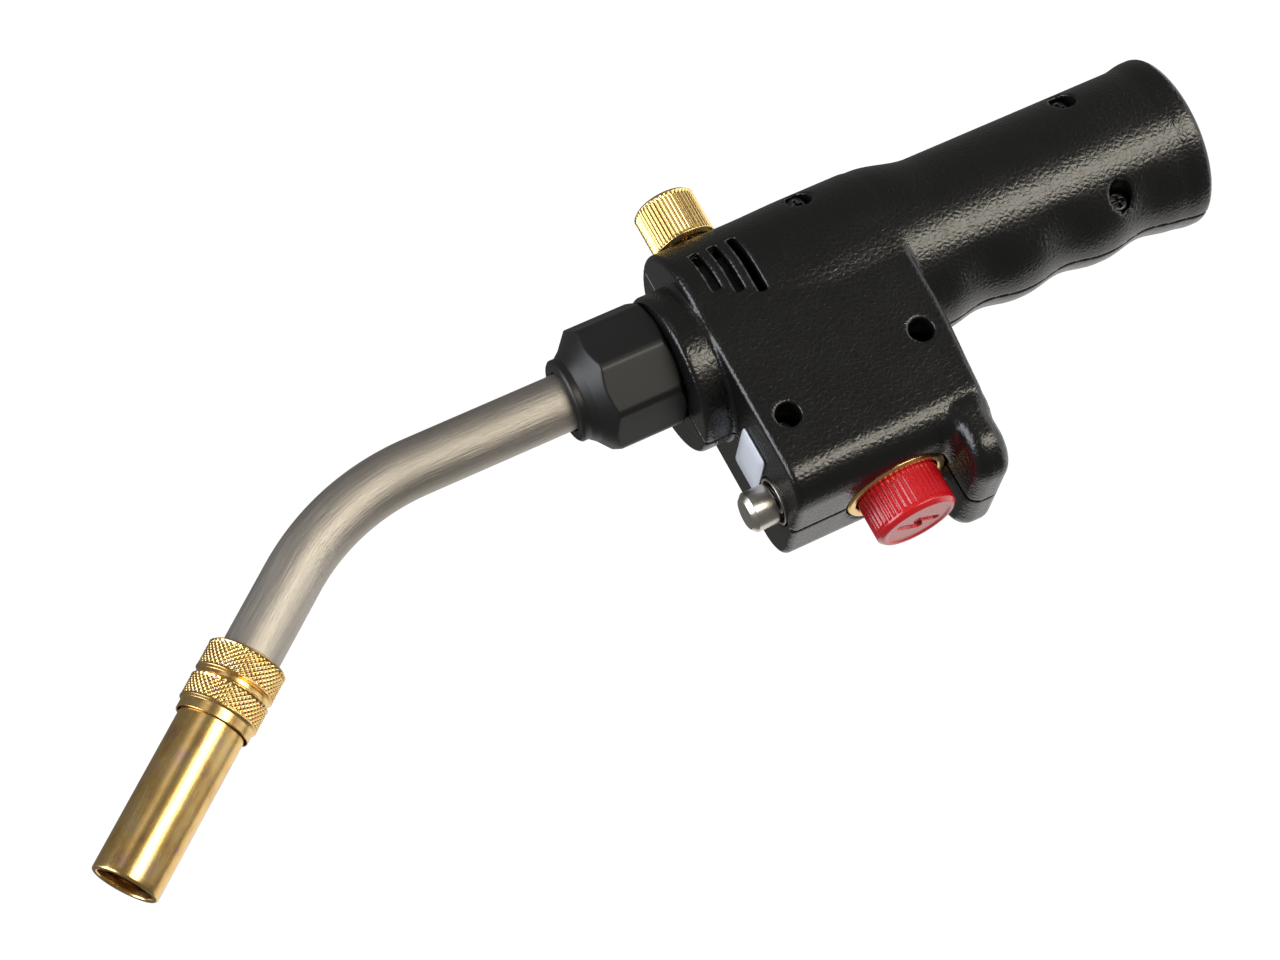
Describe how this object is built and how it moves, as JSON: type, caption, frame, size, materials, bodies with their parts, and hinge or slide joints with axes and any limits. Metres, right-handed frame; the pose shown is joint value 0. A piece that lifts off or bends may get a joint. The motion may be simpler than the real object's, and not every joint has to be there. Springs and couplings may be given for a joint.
{
  "type": "propane torch",
  "caption": "Hand-held gas torch with a cylinder socket in its handle, a side trigger button, a lock pin, a flow knob and a bent burner tube on a swivel collar.",
  "frame": {"origin": "centre of the gas inlet's mouth, in the plane of the handle's rear end", "axes": "+Z along the handle towards the burner, +X towards the flow knob, -X towards the trigger button; the housing halves meet in the plane Y = 0"},
  "size_m": [0.095, 0.0394, 0.2793],
  "materials": {
    "black_nylon": "satin with a fine leather grain",
    "satin_black": "satin black coating",
    "stainless_tube": "brushed along the tube, warm grey",
    "burner_brass": "polished, tinted by heat",
    "knurled_brass": "straight knurl, satin",
    "turned_brass": "turned",
    "nickel_plate": "polished nickel plate",
    "spring_steel": "drawn wire",
    "zinc_plate": "black zinc plated",
    "black_rubber": "matte",
    "lead_insulation": "silicone insulation, matte",
    "red_plastic": "glossy red",
    "blue_plastic": "moulded",
    "ceramic": "glazed ceramic",
    "silver_foil": "satin foil, blank"
  },
  "bodies": {
    "torch_body": {"housing_left": "black_nylon", "housing_right": "black_nylon", "housing_screw_1": "zinc_plate", "housing_screw_2": "zinc_plate", "housing_screw_3": "zinc_plate", "housing_screw_4": "zinc_plate", "housing_screw_5": "zinc_plate", "rating_label": "silver_foil", "inlet_body": "turned_brass", "inlet_gasket": "black_rubber", "inlet_probe": "turned_brass", "inlet_filter": "zinc_plate", "inlet_pipe": "turned_brass", "regulator_body": "turned_brass", "regulator_diaphragm": "black_rubber", "regulator_cap": "zinc_plate", "regulator_spring": "spring_steel", "regulator_pilot": "turned_brass", "valve_pipe": "turned_brass", "valve_block": "zinc_plate", "needle_seal": "black_rubber", "gland_nut": "turned_brass", "valve_spring": "spring_steel", "button_ring": "turned_brass", "piezo_igniter": "blue_plastic", "button_spring": "spring_steel", "ignition_lead": "lead_insulation", "pin_bush": "nickel_plate", "pin_spring": "spring_steel", "swivel_bush": "turned_brass", "swivel_washer": "spring_steel", "jet_holder": "turned_brass", "gas_jet": "turned_brass"},
    "button": {"trigger_button": "red_plastic", "push_rod": "spring_steel", "valve_plunger": "turned_brass", "valve_seal": "black_rubber", "piezo_plunger": "zinc_plate"},
    "knob": {"flow_knob": "knurled_brass", "needle_spindle": "turned_brass", "knob_screw": "nickel_plate"},
    "lock": {"lock_pin": "nickel_plate", "pin_clip": "spring_steel"},
    "burner": {"mixing_tube": "turned_brass", "collar_grip": "satin_black", "burner_tube": "stainless_tube", "electrode_lead": "lead_insulation", "tip_ring": "burner_brass", "burner_tip": "burner_brass", "flame_swirler": "burner_brass", "electrode_insulator": "ceramic", "electrode": "spring_steel"}
  },
  "joints": [
    {"name": "button_press", "type": "slide", "parent": "torch_body", "child": "button", "axis": [1, 0, 0], "range_m": [0, 0.005], "stiffness_N_per_m": 1500, "deforming": ["button_spring", "valve_spring"]},
    {"name": "flow_knob_turn", "type": "hinge", "parent": "torch_body", "child": "knob", "pos_m": [0.0215, 0, 0.1095], "axis": [1, 0, 0], "range_deg": [0, 360]},
    {"name": "lock_pin_push", "type": "slide", "parent": "torch_body", "child": "lock", "axis": [0, 0, -1], "range_m": [0, 0.004], "stiffness_N_per_m": 600, "deforming": ["pin_spring"]},
    {"name": "burner_swivel", "type": "hinge", "parent": "torch_body", "child": "burner", "pos_m": [0, 0, 0.1278], "axis": [0, 0, 1], "continuous": true}
  ]
}
